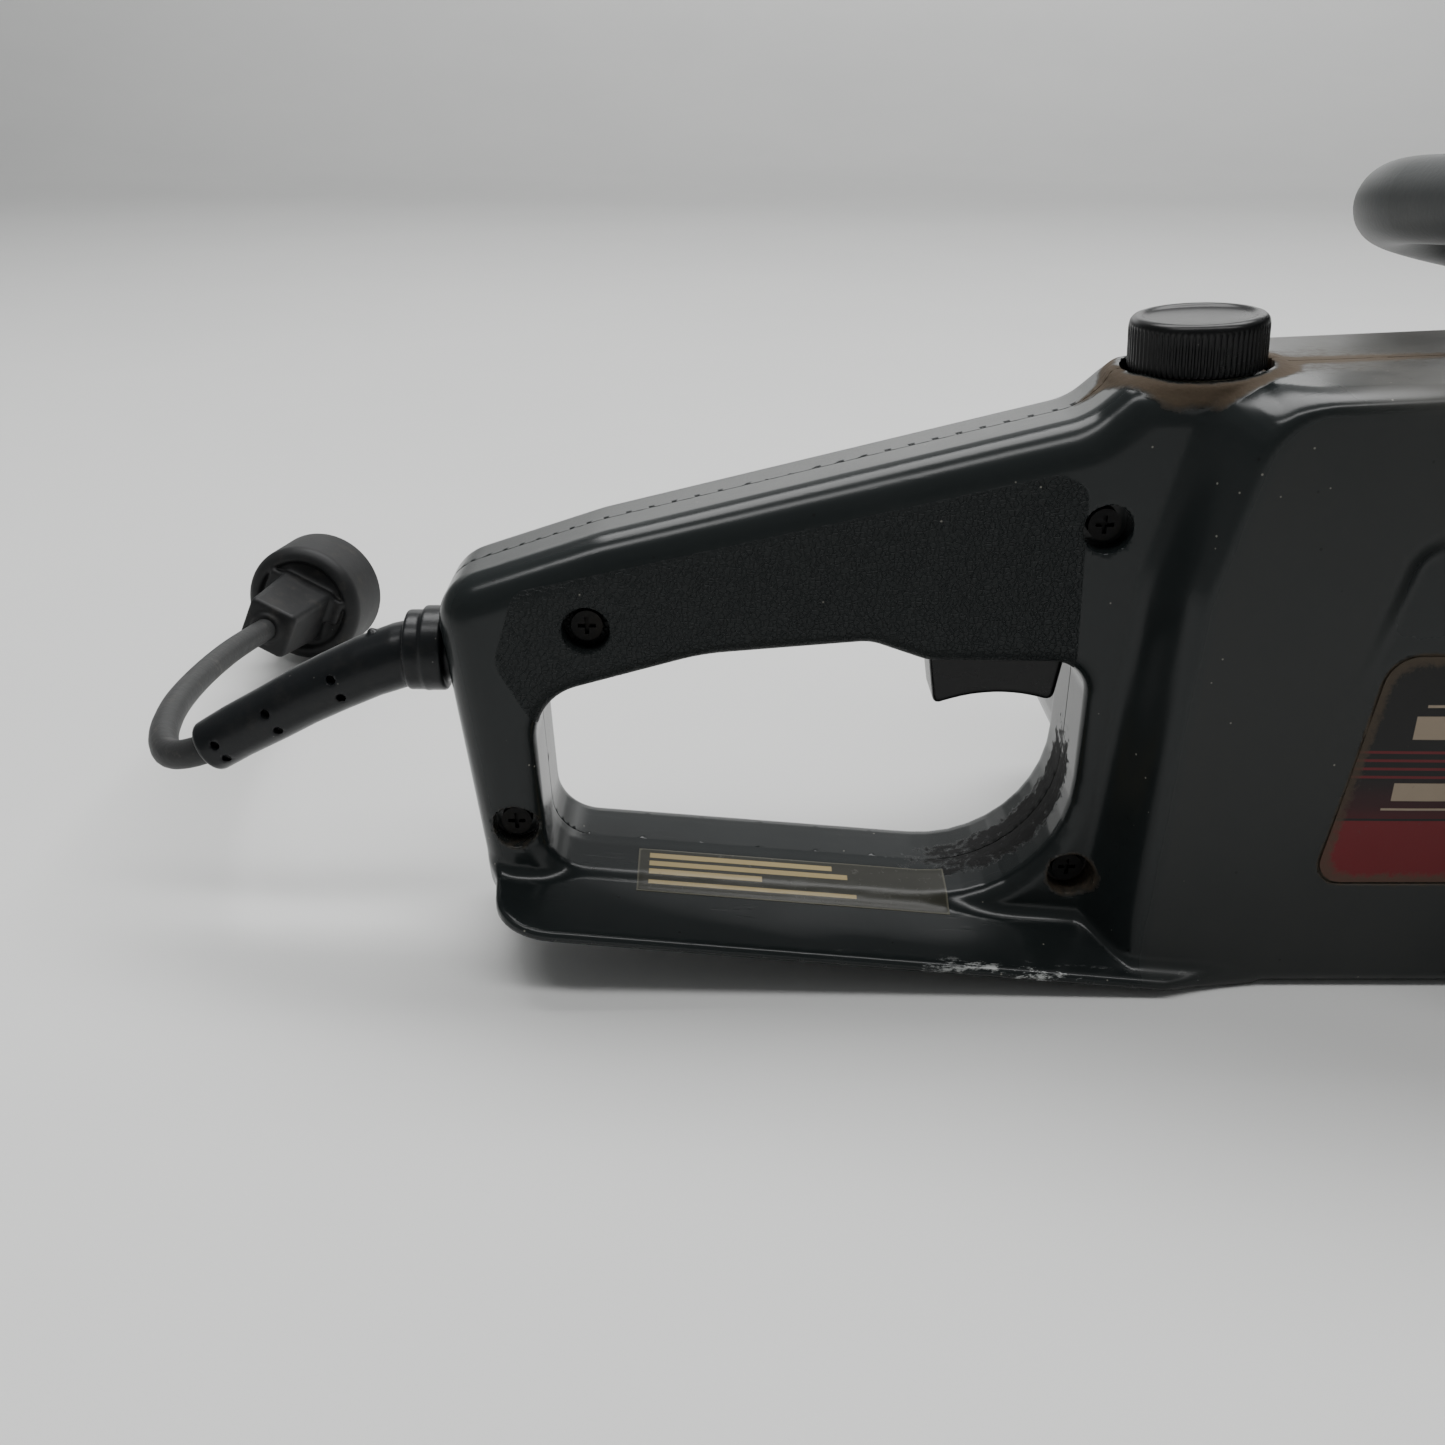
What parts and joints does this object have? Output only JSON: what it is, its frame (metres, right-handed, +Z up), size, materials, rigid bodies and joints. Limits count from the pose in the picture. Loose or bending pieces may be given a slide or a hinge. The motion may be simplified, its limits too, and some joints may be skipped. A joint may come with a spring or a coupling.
{
  "type": "corded electric chainsaw",
  "caption": "Corded electric chainsaw: clamshell rear handle with trigger, oil cap on top, transverse motor, front handle and guard, guide bar with saw chain, short cord with plug.",
  "frame": {"origin": "centre of the saw's box at the level of the flat base, cord and plug left out", "axes": "+X towards the bar nose, +Y to the saw's left, +Z up"},
  "size_m": [0.8881, 0.2903, 0.2015],
  "materials": {
    "housing_plastic": "semi-gloss moulded plastic, dusty, leather-grained on the grip",
    "handle_plastic": "satin moulded plastic",
    "cover_plastic": "semi-gloss moulded plastic",
    "black_plastic": "black moulded plastic, fine knurl on the cap",
    "rubber": "soft black rubber",
    "cord_jacket": "grey-black cord jacket",
    "side_label": "printed label in black and red bands",
    "lower_label": "printed label, dark olive with gold",
    "zinc_steel": "zinc-plated steel",
    "black_screw": "blackened steel",
    "bar_steel": "ground steel plate",
    "chain_steel": "oiled steel",
    "spike_steel": "stamped steel",
    "shaft_steel": "ground steel",
    "laminations": "stacked steel sheet",
    "copper_wire": "enamelled copper",
    "brass": "brass",
    "carbon": "carbon",
    "cast_aluminium": "cast aluminium",
    "tank_plastic": "natural polyethylene",
    "blade_brass": "plated brass"
  },
  "bodies": {
    "saw": {"right_housing": "housing_plastic", "left_housing": "housing_plastic", "front_handle": "handle_plastic", "hand_guard": "handle_plastic", "sprocket_cover": "cover_plastic", "switch_body": "black_plastic", "cord_clamp": "black_plastic", "end_bracket": "black_plastic", "cord_boot": "rubber", "plug_body": "rubber", "oil_line": "rubber", "power_cord": "cord_jacket", "inner_cord": "cord_jacket", "switch_leads": "cord_jacket", "motor_leads": "cord_jacket", "side_label": "side_label", "lower_label": "lower_label", "handle_screws": "zinc_steel", "guard_screws": "zinc_steel", "bar_studs": "zinc_steel", "bar_nuts": "zinc_steel", "tension_block": "zinc_steel", "tension_screw": "zinc_steel", "gear_case_screws": "zinc_steel", "clamp_screws": "zinc_steel", "trigger_pin": "zinc_steel", "return_springs": "zinc_steel", "brush_springs": "zinc_steel", "housing_screws": "black_screw", "guide_bar": "bar_steel", "saw_chain": "chain_steel", "bumper_spikes": "spike_steel", "motor_bearings": "shaft_steel", "output_bearings": "shaft_steel", "field_core": "laminations", "field_coils": "copper_wire", "brush_holders": "brass", "carbon_brushes": "carbon", "gear_case": "cast_aluminium", "gear_cover": "cast_aluminium", "oil_pump": "cast_aluminium", "oil_tank": "tank_plastic", "plug_blades": "blade_brass"},
    "trigger_lever": {"trigger": "black_plastic"},
    "switch_pusher": {"switch_plunger": "black_plastic"},
    "lock_off": {"lock_button": "black_plastic"},
    "filler_cap": {"oil_cap": "black_plastic", "cap_seal": "rubber"},
    "armature": {"armature_shaft": "shaft_steel", "armature_core": "laminations", "armature_windings": "copper_wire", "commutator": "copper_wire", "motor_fan": "black_plastic", "pinion": "shaft_steel"},
    "output": {"output_shaft": "shaft_steel", "drive_gear": "shaft_steel", "drive_sprocket": "chain_steel", "sprocket_clip": "zinc_steel"},
    "bar_nose_wheel": {"nose_sprocket": "chain_steel"}
  },
  "joints": [
    {"name": "trigger_pull", "type": "hinge", "parent": "saw", "child": "trigger_lever", "pos_m": [-0.19978, -0.0124, 0.097], "axis": [0, 1, 0], "range_deg": [0, 8], "stiffness_Nm_per_rad": 0.9, "springref_deg": -4.58},
    {"name": "switch_stroke", "type": "slide", "parent": "saw", "child": "switch_pusher", "axis": [0, 0, 1], "range_m": [0, 0.0042]},
    {"name": "lock_off_press", "type": "slide", "parent": "saw", "child": "lock_off", "axis": [0, -1, 0], "range_m": [0, 0.003], "stiffness_N_per_m": 350, "springref_m": -0.002},
    {"name": "filler_cap_turn", "type": "hinge", "parent": "saw", "child": "filler_cap", "pos_m": [-0.17078, -0.0124, 0.1515], "axis": [-0.0698, 0, 0.9976], "range_deg": [0, 540]},
    {"name": "motor_spin", "type": "hinge", "parent": "saw", "child": "armature", "pos_m": [-0.07678, -0.0124, 0.078], "axis": [0, 1, 0], "continuous": true},
    {"name": "output_spin", "type": "hinge", "parent": "saw", "child": "output", "pos_m": [-0.03312, -0.0124, 0.062], "axis": [0, 1, 0], "continuous": true},
    {"name": "nose_spin", "type": "hinge", "parent": "saw", "child": "bar_nose_wheel", "pos_m": [0.39516, -0.0124, 0.062], "axis": [0, 1, 0], "continuous": true}
  ],
  "couplings": [
    {"joint": "switch_stroke", "follows": "trigger_pull", "m_per_rad": 0.029364},
    {"joint": "output_spin", "follows": "motor_spin", "ratio": -0.19231},
    {"joint": "nose_spin", "follows": "motor_spin", "ratio": -0.14423}
  ]
}
